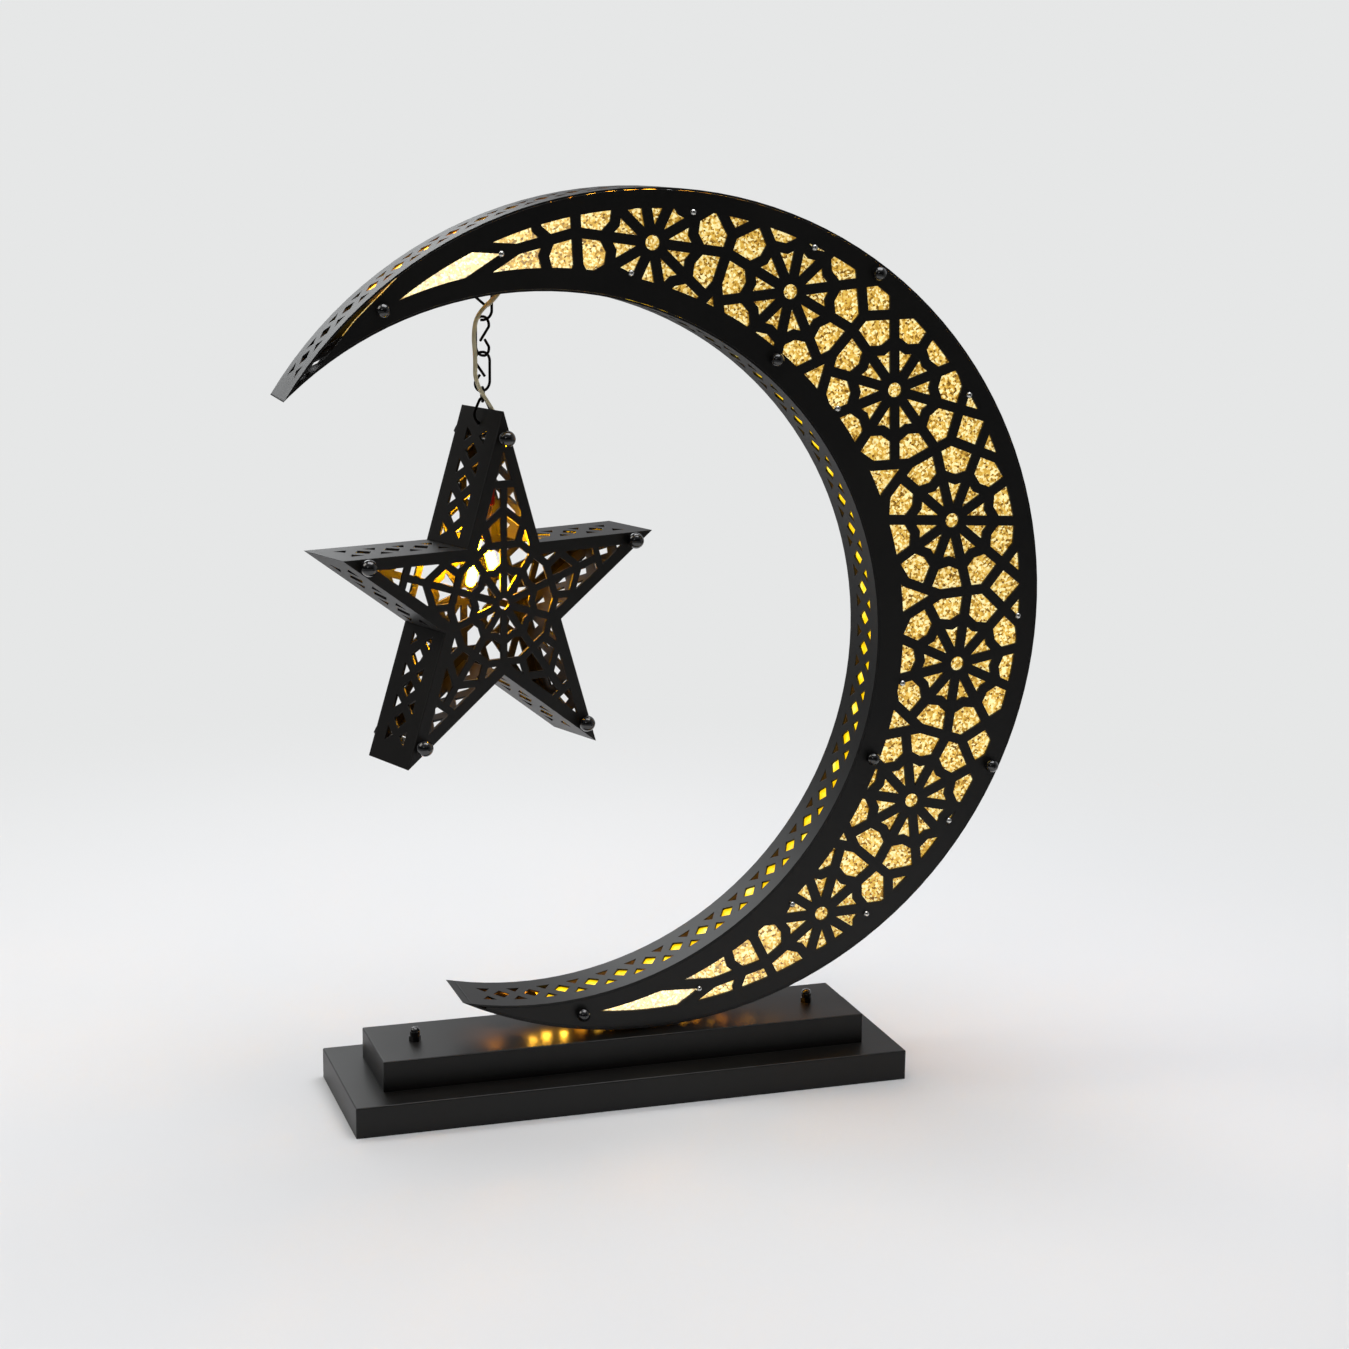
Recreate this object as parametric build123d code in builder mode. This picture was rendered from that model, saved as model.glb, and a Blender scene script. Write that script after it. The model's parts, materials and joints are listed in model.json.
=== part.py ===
from build123d import *
from math import acos, asin, atan, cos, degrees, radians, sin, sqrt, tan
import os

os.makedirs("parts", exist_ok=True)

# An Eid crescent ornament in laser-cut sheet steel. A pierced crescent box with an amber panel
# stands on a stepped base, and a pierced star lamp hangs in it on a short chain.
# The frame is +Z up, -Y to the front, with the origin on the floor under the middle of the base.
# Sizes are in millimetres and angles in degrees.

# Base sizes
base_width = 300
base_depth = 92
lower_height = 16.2
upper_width = 264
upper_depth = 55
upper_height = 16.2
base_sheet = 1.2
bend_radius = 0.8
bottom_thickness = 1.5
bolt_spacing = 219
bolt_radius = 1.5
bolt_head_radius = 2.75
bolt_head_height = 2.0
acorn_flats = 5.5
acorn_hex_height = 2.6
acorn_height = 7.4
inlet_radius = 3.0
inlet_wall = 1.4
inlet_flange = 1.6

# Crescent sizes
outer_radius = 219.3
inner_radius = 184.5
centre_offset = 59.5
crescent_tilt = 15.52
crescent_depth = 38.7
crescent_x = 10.8
foot_gap = 1.3
wall_sheet = 1.0
plate_sheet = 1.5
top_end_half = 2.86
low_end_half = 1.6
panel_thickness = 2.0
panel_end_half = 5.56
tip_gap = 3.4
tip_gap_half_way = 2.3
tip_gap_turn = 16

# Pierced lattice of the crescent's front plate
rosette_count = 7
rosette_step = 22.38
rosette_inset = 1.06
rosette_shift = 3.15
strap = 5.3
ring_distance = 20.7
hub_radius = 3.75
outer_margin = 10.3
inner_margin = 10.2
window_shift = 4.5
least_opening = 7.0

# Pierced diamonds and triangles of the curved walls
diamond_width = 8.8
diamond_height = 11.7
triangle_width = 7.5
triangle_tip = 3.15
triangle_base = 9.15
inner_pitch = 16.56
outer_pitch = 16.08
wall_end = 7.0

# Fixings of the crescent
post_radius = 3.0
post_bore = 1.7
screw_radius = 1.6
screw_length = 9.0
ball_radius = 3.6
ball_rise = 2.7
tip_post_inset = 8.65
outer_post_inset = 5.3
outer_post_angle = 39.9
inner_post_inset = 9.2
inner_post_angle = 34.8
pan_radius = 3.0
pan_height = 1.8
stud_radius = 1.0
stud_length = 5.9
stud_head = 1.75
stud_rise = 0.3
foot_screw_spacing = 23
foot_screw_radius = 1.6
foot_washer_radius = 4.0
foot_nut_flats = 6.0
foot_nut_height = 2.6
grommet_radius = 4.0
grommet_bore = 2.4
grommet_flange = 0.9
led_width = 12.0
led_thickness = 0.8
led_gap = 0.4
outer_led_half = 8.72
inner_led_half = 6.16
block_width = 16.0
block_height = 9.0
block_depth = 8.0
block_bore = 1.6

# Chain of bent wire, from the crescent's inner wall down to the star
wire = 1.4
link_length = 19.3
link_half_width = 4.9
link_kink = 5.0
link_corner = 4.0
link_arm_end = 1.6
hanger_kink = 3.0
hanger_arm_end = 2.5
arm_reach = 1.5
arm_drop = 2.4
arm_stop = 1.8
ring_length = 7.0
hook_length = 13.0
hook_top_radius = 2.2
upper_link_turn = 118
lower_link_turn = 28
ring_turn = 85
hanger_rib = 16

# Star sizes
star_tip = 96.9
star_notch = 36.5
star_depth = 38.7
star_turn = 18.8
star_sheet = 1.2
star_border = 6.0
star_strap = 3.8
star_cell = 29.9
star_ring = 15.9
star_hub = 2.8
star_roof = 48.0
star_cross = 60.5
star_side_strap = 8.2
star_wall_diamonds = 3
star_wall_pitch = 16.5
star_wall_start = 22.5
star_screw = 83.5
star_ball_radius = 4.2
star_ball_rise = 3.2
star_tube_radius = 2.3
star_nut_flats = 5.5
star_nut_height = 3.0
fold_gap = 0.2
hook_drop = 8.0
hook_hole = 1.1

# Lamp inside the star
holder_radius = 4.0
holder_height = 12.0
holder_rise = 36.5
lamp_radius = 2.5
lamp_length = 7.0
lamp_lean = 16
lead_radius = 0.6
lead_spread = 1.5
short_lead = 8.0
long_lead = 15.0
bracket_width = 3.2
bracket_sheet = 1.2
splice_radius = 2.2
splice_length = 9.0
splice_rise = 52.0
splice_side = 4.5

# Twin flex from the crescent down to the star's lamps, as places beside the chain
flex_diameter = 2.2
bend_share = 0.45
upper_split = 0.6
lower_split = 0.5

# Clearances
seam = 0.1
fit = 0.15
running = 0.3

# Worked-out places
base_top = lower_height + upper_height
crescent_z = base_top + foot_gap + outer_radius
half_depth = crescent_depth / 2
half_step = rosette_step / 2
rosette_circle = (outer_radius + inner_radius) / 2 - rosette_inset
rosette_centre = centre_offset / 2 - rosette_shift
cell_distance = rosette_circle * sin(radians(half_step))
ring_in = ring_distance - strap / 2
ring_out = ring_distance + strap / 2
plate_outer = outer_radius - wall_sheet - seam
plate_inner = inner_radius + wall_sheet + seam
panel_front = half_depth - plate_sheet
post_length = crescent_depth - 2 * plate_sheet

# Local x runs along the crescent's axis from its open side, and local z to the front
crescent_plane = Plane(
    origin=(crescent_x, 0, crescent_z),
    x_dir=(cos(radians(crescent_tilt)), 0, sin(radians(crescent_tilt))),
    z_dir=(0, -1, 0),
)
inner_centre = (-centre_offset, 0)
window_centre = (window_shift - centre_offset, 0)


def polar(radius, angle, centre=(0, 0)):
    """A point at a radius and an angle about a centre."""
    return (centre[0] + radius * cos(radians(angle)), centre[1] + radius * sin(radians(angle)))


def narrow_x(half_width):
    """How far along its axis the crescent has narrowed to twice a half width."""
    inside, outside = inner_radius + half_width, outer_radius - half_width
    return (inside ** 2 - outside ** 2 - centre_offset ** 2) / (2 * centre_offset)


def narrow_angle(half_width):
    """The angle on the outer circle where the crescent has narrowed to twice a half width."""
    return degrees(acos(narrow_x(half_width) / (outer_radius - half_width)))


top_end_angle = narrow_angle(top_end_half)
low_end_angle = narrow_angle(low_end_half)
panel_end_angle = narrow_angle(panel_end_half)
outer_arc = outer_radius * radians(low_end_angle)
inner_arc = inner_radius * acos((narrow_x(low_end_half) + centre_offset) / (inner_radius + low_end_half))
outer_diamonds = 2 * int((outer_arc - wall_end) / outer_pitch) + 1
inner_diamonds = 2 * int((inner_arc - wall_end) / inner_pitch + 0.5)


def strap_corner(angle_a, distance_a, angle_b, distance_b):
    """The point where two straight edges cross, each given by its normal's angle and its distance."""
    a, b = radians(angle_a), radians(angle_b)
    scale = 1 / sin(b - a)
    x = scale * (distance_a * sin(b) - distance_b * sin(a))
    y = scale * (distance_b * cos(a) - distance_a * cos(b))
    return (x, y)


def dart(low, high, width, distance):
    """A dart between two spokes, from the hub to the ring of straps."""
    low_edge, high_edge = low + 90, high - 90
    return [
        strap_corner(low_edge, width / 2, high_edge, width / 2),
        strap_corner(high, distance, low_edge, width / 2),
        strap_corner(low, distance, high, distance),
        strap_corner(low, distance, high_edge, width / 2),
    ]


def petal(low, high, low_normal, high_normal, width, near, far):
    """A petal between two spokes, from the ring of straps to the edge of the rosette."""
    low_edge, high_edge = low + 90, high - 90
    return [
        strap_corner(low, near, high, near),
        strap_corner(high, near, low_edge, width / 2),
        strap_corner(low_normal, far, low_edge, width / 2),
        strap_corner(low_normal, far, high_normal, far),
        strap_corner(high_normal, far, high_edge, width / 2),
        strap_corner(low, near, high_edge, width / 2),
    ]


def end_opening(out, up):
    """The opening beside the long pointed one at an end of the row, on one side of the last spoke."""
    edge = strap / 2
    slope = tan(radians(18))
    bend = (edge - strap / cos(radians(18))) / slope
    reach = 2 * cell_distance
    corners = [
        (edge, bend),
        strap_corner(306, ring_in, 360, edge),
        strap_corner(270, ring_in, 306, ring_in),
        (reach, -ring_in),
        (edge + reach * slope, bend + reach),
    ]
    placed = [(out * x, up * y) for x, y in corners]
    return placed if out == up else placed[::-1]


# Each rosette has ten spokes, two of them along the crescent. Neighbours share a strap
# that lies on the line half-way between them.
spokes = [18 + 36 * k for k in range(10)]
cell_normals = [90 + half_step if s == 90 else 270 - half_step if s == 270 else s for s in spokes]
sectors = range(10)


def after(k):
    """The next spoke's number round a rosette."""
    return (k + 1) % 10


def turned(angle, k):
    """An angle, one turn on where the list of spokes has started again."""
    return angle + 360 if after(k) == 0 else angle


def rosette_place(number):
    """The place of one rosette, counted from the crescent's middle."""
    x, y = polar(rosette_circle, number * rosette_step, (-rosette_centre, 0))
    return Location((x, y, 0), (0, 0, number * rosette_step))


full_numbers = [k - rosette_count // 2 for k in range(rosette_count)]
end_number = rosette_count // 2 + 1
full_places = [rosette_place(k) for k in full_numbers]
top_place = rosette_place(end_number)
low_place = rosette_place(-end_number)

with BuildSketch() as window:
    Circle(outer_radius - outer_margin)
    with Locations(window_centre):
        Circle(inner_radius + inner_margin, mode=Mode.SUBTRACT)

with BuildSketch() as between:
    add(window.sketch)
    far = cell_distance + strap / 2
    outline = []
    for k in sectors:
        outline.append(strap_corner(cell_normals[k], far, turned(cell_normals[after(k)], k), far))
    with Locations(*full_places, top_place, low_place):
        Polygon(*outline, align=None, mode=Mode.SUBTRACT)
        for side in (-54, 54):
            Rectangle(2 * cell_distance, strap, rotation=side, align=(Align.MIN, Align.CENTER),
                      mode=Mode.SUBTRACT)

with BuildSketch() as openings:
    for k in sectors:
        low, high = spokes[k], turned(spokes[after(k)], k)
        low_normal, high_normal = cell_normals[k], turned(cell_normals[after(k)], k)
        middle = (low + high) / 2
        places = list(full_places)
        # At the ends of the row only the two petals that face the next rosette are cut
        if middle in (252, 288):
            places.append(top_place)
        if middle in (72, 108):
            places.append(low_place)
        with Locations(*full_places):
            Polygon(*dart(low, high, strap, ring_in), align=None)
        with Locations(*places):
            Polygon(*petal(low, high, low_normal, high_normal, strap, ring_out,
                           cell_distance - strap / 2), align=None)
    with Locations(*full_places):
        Circle(hub_radius)
    # A long pointed opening runs out to each tip of the window, with a bent one on either side
    reach = cell_distance * 2
    spread = reach * tan(radians(18))
    for place, up in ((top_place, 1), (low_place, -1)):
        with Locations(place):
            Polygon((0, 0), (up * spread, up * reach), (-up * spread, up * reach), align=None)
            for out in (-1, 1):
                Polygon(*end_opening(out, up), align=None)
    add(window.sketch, mode=Mode.INTERSECT)
    add(between.sketch)

lattice = [face for face in openings.sketch.faces() if face.area > least_opening]

post_points = []
for side in (-1, 1):
    post_points.append(polar(outer_radius - tip_post_inset, side * narrow_angle(tip_post_inset)))
    post_points.append(polar(outer_radius - outer_post_inset, side * outer_post_angle))
    post_points.append(polar(inner_radius + inner_post_inset, side * inner_post_angle, inner_centre))

stud_points = []
for side in (-1, 1):
    for angle in (17.3, 50.0, 68.7):
        stud_points.append(polar(outer_radius - outer_margin - stud_head / 2, side * angle))
    for angle in (22.9, 62.2):
        stud_points.append(polar(inner_radius + inner_margin + stud_head, side * angle, window_centre))
    stud_points.append(polar(rosette_circle, side * end_number * rosette_step, (-rosette_centre, 0)))


def crescent_outline(outer, inner, top_angle, low_angle):
    """A crescent between two circles, with its ends cut off square to the outer one."""
    Circle(outer)
    with Locations(inner_centre):
        Circle(inner, mode=Mode.SUBTRACT)
    for side, end_angle in ((1, top_angle), (-1, low_angle)):
        with Locations(Location((*polar(outer, side * end_angle), 0), (0, 0, side * end_angle))):
            Rectangle(4 * (outer - inner), 4 * (outer - inner), mode=Mode.SUBTRACT,
                      align=(Align.CENTER, Align.MIN if side > 0 else Align.MAX))


def radial_plane(radius, angle, centre):
    """A plane that touches a curved wall, with its local y along the wall's depth."""
    point = polar(radius, angle, centre)
    out = crescent_plane.x_dir * cos(radians(angle)) + crescent_plane.y_dir * sin(radians(angle))
    return Plane(
        origin=crescent_plane.from_local_coords(Vector(point[0], point[1], 0)),
        x_dir=crescent_plane.z_dir.cross(out),
        z_dir=out,
    )


def diamond(width, height):
    """A diamond-shaped opening."""
    Polygon((width / 2, 0), (0, height / 2), (-width / 2, 0), (0, -height / 2), align=None)


def triangles():
    """The two triangles between a pair of diamonds, pointing at each other."""
    for side in (-1, 1):
        Polygon((0, side * triangle_tip), (triangle_width / 2, side * triangle_base),
                (-triangle_width / 2, side * triangle_base), align=None)


# Outer wall, a strip rolled to the outer circle and pierced with a row of diamonds
outer_turn = degrees(outer_pitch / outer_radius)
with BuildPart() as outer_wall:
    with BuildSketch(crescent_plane.offset(-half_depth)):
        Circle(outer_radius)
        Circle(outer_radius - wall_sheet, mode=Mode.SUBTRACT)
        with Locations(inner_centre):
            Circle(inner_radius, mode=Mode.SUBTRACT)
    extrude(amount=crescent_depth)
    for k in range(outer_diamonds):
        angle = (k - (outer_diamonds - 1) / 2) * outer_turn
        with BuildSketch(radial_plane(outer_radius, angle, (0, 0))):
            diamond(diamond_width, diamond_height)
    for k in range(outer_diamonds + 1):
        with BuildSketch(radial_plane(outer_radius, (k - outer_diamonds / 2) * outer_turn, (0, 0))):
            triangles()
    extrude(amount=2 * wall_sheet, both=True, mode=Mode.SUBTRACT)
    foot = radial_plane(outer_radius, -90 - crescent_tilt, (0, 0))
    with BuildSketch(foot):
        with GridLocations(1, foot_screw_spacing, 1, 2):
            Circle(foot_screw_radius + fit)
    extrude(amount=2 * wall_sheet, both=True, mode=Mode.SUBTRACT)
outer_wall.part.label = "outer_wall"
export_step(outer_wall.part, "parts/outer_wall.step")

# Inner wall, rolled to the inner circle, whose rib beside the star carries the chain
inner_turn = degrees(inner_pitch / inner_radius)
with BuildPart() as inner_wall:
    with BuildSketch(crescent_plane.offset(-half_depth)):
        with Locations(inner_centre):
            Circle(inner_radius + wall_sheet)
            Circle(inner_radius, mode=Mode.SUBTRACT)
        Circle(outer_radius - wall_sheet - seam, mode=Mode.INTERSECT)
    extrude(amount=crescent_depth)
    for k in range(inner_diamonds):
        angle = (k - (inner_diamonds - 1) / 2) * inner_turn
        with BuildSketch(radial_plane(inner_radius, angle, inner_centre)):
            diamond(diamond_width, diamond_height)
    for k in range(inner_diamonds + 1):
        with BuildSketch(radial_plane(inner_radius, (k - inner_diamonds / 2) * inner_turn, inner_centre)):
            triangles()
    extrude(amount=2 * wall_sheet, both=True, mode=Mode.SUBTRACT)
inner_wall.part.label = "inner_wall"
export_step(inner_wall.part, "parts/inner_wall.step")

# Front plate, pierced with the row of ten-spoked rosettes. Its upper end stands a little off the wall.
tip_cut = [
    polar(plate_outer, top_end_angle - tip_gap_turn),
    polar(plate_outer + tip_gap, top_end_angle - tip_gap_turn),
    polar(plate_outer + 2 * tip_gap, top_end_angle + 1),
    polar(plate_outer - tip_gap, top_end_angle + 1),
    polar(plate_outer - tip_gap_half_way, top_end_angle - tip_gap_turn / 2),
]
with BuildPart() as front_plate:
    with BuildSketch(crescent_plane.offset(half_depth - plate_sheet)):
        crescent_outline(plate_outer, plate_inner, top_end_angle, low_end_angle)
        add(lattice, mode=Mode.SUBTRACT)
        Polygon(*tip_cut, align=None, mode=Mode.SUBTRACT)
        with Locations(*stud_points):
            Circle(stud_radius + fit, mode=Mode.SUBTRACT)
        with Locations(*post_points):
            Circle(screw_radius + fit, mode=Mode.SUBTRACT)
    extrude(amount=plate_sheet)
front_plate.part.label = "front_plate"
export_step(front_plate.part, "parts/front_plate.step")

# Back plate, closed
with BuildPart() as back_plate:
    with BuildSketch(crescent_plane.offset(-half_depth)):
        crescent_outline(plate_outer, plate_inner, low_end_angle, low_end_angle)
        with Locations(*post_points):
            Circle(screw_radius + fit, mode=Mode.SUBTRACT)
    extrude(amount=plate_sheet)
back_plate.part.label = "back_plate"
export_step(back_plate.part, "parts/back_plate.step")

# Amber panel behind the front plate, let out round the posts and the studs
with BuildPart() as amber_panel:
    with BuildSketch(crescent_plane.offset(panel_front - panel_thickness)):
        crescent_outline(plate_outer - running, plate_inner + running, panel_end_angle, panel_end_angle)
        Polygon(*tip_cut, align=None, mode=Mode.SUBTRACT)
        with Locations(*post_points):
            Circle(post_radius + running, mode=Mode.SUBTRACT)
        for side in (-1, 1):
            with Locations(polar(outer_radius - outer_post_inset + post_radius, side * outer_post_angle)):
                Circle(post_radius + running, mode=Mode.SUBTRACT)
        with Locations(*stud_points):
            Circle(stud_radius + fit, mode=Mode.SUBTRACT)
    extrude(amount=panel_thickness)
amber_panel.part.label = "amber_panel"
export_step(amber_panel.part, "parts/amber_panel.step")

# Posts between the front and back plates
with BuildPart() as plate_posts:
    with BuildSketch(crescent_plane.offset(-post_length / 2)):
        with Locations(*post_points):
            Circle(post_radius)
            Circle(post_bore, mode=Mode.SUBTRACT)
    extrude(amount=post_length)
plate_posts.part.label = "plate_posts"
export_step(plate_posts.part, "parts/plate_posts.step")


def ball_profile(radius, rise, shank_radius, shank_length):
    """Half of a ball-headed screw or stud, standing on the sketch's x axis."""
    foot_radius = sqrt(radius ** 2 - rise ** 2)
    with BuildSketch(Plane.XZ) as profile:
        with BuildLine():
            Line((0, -shank_length), (shank_radius, -shank_length))
            Line((shank_radius, -shank_length), (shank_radius, 0))
            Line((shank_radius, 0), (foot_radius, 0))
            ThreePointArc((foot_radius, 0), (radius, rise), (0, rise + radius))
            Line((0, rise + radius), (0, -shank_length))
        make_face()
    return profile.sketch


def placed_copies(label, solid, places):
    """One node of separate copies of a solid."""
    copies = [solid.moved(place) for place in places]
    return Compound(children=copies, label=label)


# Ball-headed screws in the front plate
with BuildPart() as ball_screw:
    revolve(ball_profile(ball_radius, ball_rise, screw_radius, screw_length), axis=Axis.Z)

front_face = crescent_plane.offset(half_depth)
front_ball_screws = placed_copies(
    "front_ball_screws", ball_screw.part.solid(),
    [front_face.location * Location((*point, 0)) for point in post_points],
)
export_step(front_ball_screws, "parts/front_ball_screws.step")

# Small domed studs at corners of the openings, which hold the panel behind the front plate
with BuildPart() as stud:
    revolve(ball_profile(stud_head, stud_rise, stud_radius, stud_length), axis=Axis.Z)

panel_studs = placed_copies(
    "panel_studs", stud.part.solid(),
    [front_face.location * Location((*point, 0)) for point in stud_points],
)
export_step(panel_studs, "parts/panel_studs.step")

# Pan-headed screws in the back plate
with BuildPart() as pan_screw:
    Cylinder(pan_radius, pan_height, align=(Align.CENTER, Align.CENTER, Align.MIN))
    fillet(pan_screw.edges().group_by(Axis.Z)[-1], pan_height * 0.6)
    Cylinder(screw_radius, screw_length, align=(Align.CENTER, Align.CENTER, Align.MAX))

back_face = Plane(origin=crescent_plane.from_local_coords(Vector(0, 0, -half_depth)),
                  x_dir=crescent_plane.x_dir, z_dir=(0, 1, 0))
back_screws = placed_copies(
    "back_screws", pan_screw.part.solid(),
    [back_face.location * Location((point[0], -point[1], 0)) for point in post_points],
)
export_step(back_screws, "parts/back_screws.step")

# Chain's and flex's places at the inner wall, where the strip of lamps behind it is let out
hanger_angle = hanger_rib * inner_turn
hanger_point = crescent_plane.from_local_coords(
    Vector(*polar(inner_radius + wall_sheet, hanger_angle, inner_centre), 0))
chain_x = hanger_point.X

# Strips of lamps behind the diamonds of the outer and inner walls
strip_outer = outer_radius - wall_sheet - led_gap
with BuildPart() as led_strip_outer:
    with BuildSketch(crescent_plane.offset(-led_width / 2)):
        Circle(strip_outer)
        Circle(strip_outer - led_thickness, mode=Mode.SUBTRACT)
        with Locations((narrow_x(outer_led_half), 0)):
            Rectangle(4 * outer_radius, 4 * outer_radius, align=(Align.MAX, Align.CENTER), mode=Mode.SUBTRACT)
    extrude(amount=led_width)
led_strip_outer.part.label = "led_strip_outer"
export_step(led_strip_outer.part, "parts/led_strip_outer.step")

strip_inner = inner_radius + wall_sheet + led_gap
with BuildPart() as led_strip_inner:
    with BuildSketch(crescent_plane.offset(-led_width / 2)):
        with Locations(inner_centre):
            Circle(strip_inner + led_thickness)
            Circle(strip_inner, mode=Mode.SUBTRACT)
        with Locations((narrow_x(inner_led_half), 0)):
            Rectangle(4 * outer_radius, 4 * outer_radius, align=(Align.MAX, Align.CENTER), mode=Mode.SUBTRACT)
    extrude(amount=led_width)
    with BuildSketch(Plane.XY.offset(hanger_point.Z)):
        with Locations((chain_x, 0)):
            with GridLocations(2 * link_half_width, 1, 2, 1):
                Circle(wire)
    with BuildSketch(radial_plane(strip_inner, hanger_angle - inner_turn / 2, inner_centre)):
        Circle(diamond_width * 0.4)
    extrude(amount=link_half_width, both=True, mode=Mode.SUBTRACT)
led_strip_inner.part.label = "led_strip_inner"
export_step(led_strip_inner.part, "parts/led_strip_inner.step")

# Lower box of the base, a folded tray that stands open side down
inlet_z = lower_height / 2
with BuildPart() as base_lower_box:
    Box(base_width, base_depth, lower_height, align=(Align.CENTER, Align.CENTER, Align.MIN))
    fillet(base_lower_box.edges().filter_by(Axis.Z), bend_radius)
    fillet(base_lower_box.edges().group_by(Axis.Z)[-1], bend_radius)
    Box(base_width - 2 * base_sheet, base_depth - 2 * base_sheet, lower_height - base_sheet,
        align=(Align.CENTER, Align.CENTER, Align.MIN), mode=Mode.SUBTRACT)
    with BuildSketch(Plane.XY.offset(lower_height)):
        with GridLocations(bolt_spacing, 1, 2, 1):
            Circle(bolt_radius + fit)
        with Locations((crescent_x, 0)):
            Circle(grommet_radius)
    extrude(amount=-2 * base_sheet, mode=Mode.SUBTRACT)
    with BuildSketch(Plane.XZ.offset(-base_depth / 2)):
        with Locations((0, inlet_z)):
            Circle(inlet_radius + inlet_wall)
    extrude(amount=2 * base_sheet, mode=Mode.SUBTRACT)
base_lower_box.part.label = "base_lower_box"
export_step(base_lower_box.part, "parts/base_lower_box.step")

# Bottom plate inside the lower box's rim
with BuildPart() as base_bottom:
    inset = 2 * (base_sheet + fit)
    Box(base_width - inset, base_depth - inset, bottom_thickness,
        align=(Align.CENTER, Align.CENTER, Align.MIN))
    fillet(base_bottom.edges().filter_by(Axis.Z), bend_radius)
base_bottom.part.label = "base_bottom"
export_step(base_bottom.part, "parts/base_bottom.step")

# Upper box of the base
with BuildPart() as base_upper_box:
    with Locations((0, 0, lower_height)):
        Box(upper_width, upper_depth, upper_height, align=(Align.CENTER, Align.CENTER, Align.MIN))
    fillet(base_upper_box.edges().filter_by(Axis.Z), bend_radius)
    fillet(base_upper_box.edges().group_by(Axis.Z)[-1], bend_radius)
    with Locations((0, 0, lower_height)):
        Box(upper_width - 2 * base_sheet, upper_depth - 2 * base_sheet, upper_height - base_sheet,
            align=(Align.CENTER, Align.CENTER, Align.MIN), mode=Mode.SUBTRACT)
    with BuildSketch(Plane.XY.offset(base_top)):
        with GridLocations(bolt_spacing, 1, 2, 1):
            Circle(bolt_radius + fit)
        with Locations((crescent_x, 0)):
            Circle(grommet_radius)
            with GridLocations(1, foot_screw_spacing, 1, 2):
                Circle(foot_screw_radius + fit)
    extrude(amount=-2 * base_sheet, mode=Mode.SUBTRACT)
base_upper_box.part.label = "base_upper_box"
export_step(base_upper_box.part, "parts/base_upper_box.step")

# Bolts that hold the two boxes together, with acorn nuts on top
bolt_seat = lower_height - base_sheet
bolt_top = base_top + acorn_height / 2
with BuildPart() as base_bolts:
    with GridLocations(bolt_spacing, 1, 2, 1):
        with Locations((0, 0, bolt_seat)):
            Cylinder(bolt_head_radius, bolt_head_height,
                     align=(Align.CENTER, Align.CENTER, Align.MAX))
            Cylinder(bolt_radius, bolt_top - bolt_seat,
                     align=(Align.CENTER, Align.CENTER, Align.MIN))
base_bolts.part.label = "base_bolts"
export_step(base_bolts.part, "parts/base_bolts.step")

acorn_dome = acorn_flats / 2 - seam
with BuildPart() as acorn_nuts:
    with BuildSketch(Plane.XY.offset(base_top)):
        with GridLocations(bolt_spacing, 1, 2, 1):
            RegularPolygon(acorn_flats / 2, 6, major_radius=False)
    extrude(amount=acorn_hex_height)
    with BuildSketch(Plane.XY.offset(base_top + acorn_hex_height)):
        with GridLocations(bolt_spacing, 1, 2, 1):
            Circle(acorn_dome)
    extrude(amount=acorn_height - acorn_hex_height)
    fillet(acorn_nuts.edges().group_by(Axis.Z)[-1], acorn_dome * 0.85)
    with BuildSketch(Plane.XY.offset(base_top)):
        with GridLocations(bolt_spacing, 1, 2, 1):
            Circle(bolt_radius + fit)
    extrude(amount=acorn_height / 2 + fit, mode=Mode.SUBTRACT)
acorn_nuts.part.label = "acorn_nuts"
export_step(acorn_nuts.part, "parts/acorn_nuts.step")

# Bush in the back of the lower box, where a lead would come in
with BuildPart() as inlet_bush:
    with BuildSketch(Plane.XZ.offset(-base_depth / 2)):
        with Locations((0, inlet_z)):
            Circle(inlet_radius + inlet_wall + inlet_flange)
            Circle(inlet_radius, mode=Mode.SUBTRACT)
    extrude(amount=-inlet_flange)
    with BuildSketch(Plane.XZ.offset(-base_depth / 2)):
        with Locations((0, inlet_z)):
            Circle(inlet_radius + inlet_wall - seam)
            Circle(inlet_radius, mode=Mode.SUBTRACT)
    extrude(amount=2 * base_sheet)
inlet_bush.part.label = "inlet_bush"
export_step(inlet_bush.part, "parts/inlet_bush.step")

# Fixing of the crescent to the base: washers, screws and nuts, and a bush for the wires
with BuildPart() as foot_washers:
    with BuildSketch(Plane.XY.offset(base_top)):
        with Locations((crescent_x, 0)):
            with GridLocations(1, foot_screw_spacing, 1, 2):
                Circle(foot_washer_radius)
                Circle(foot_screw_radius + fit, mode=Mode.SUBTRACT)
    extrude(amount=foot_gap)
foot_washers.part.label = "foot_washers"
export_step(foot_washers.part, "parts/foot_washers.step")

foot_head_z = base_top + foot_gap + wall_sheet + seam
foot_nut_z = base_top - base_sheet
with BuildPart() as foot_screws:
    with Locations((crescent_x, 0, foot_head_z)):
        with GridLocations(1, foot_screw_spacing, 1, 2):
            Cylinder(pan_radius, pan_height, align=(Align.CENTER, Align.CENTER, Align.MIN))
            Cylinder(foot_screw_radius, foot_head_z - foot_nut_z + foot_nut_height + 1,
                     align=(Align.CENTER, Align.CENTER, Align.MAX))
foot_screws.part.label = "foot_screws"
export_step(foot_screws.part, "parts/foot_screws.step")

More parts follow.
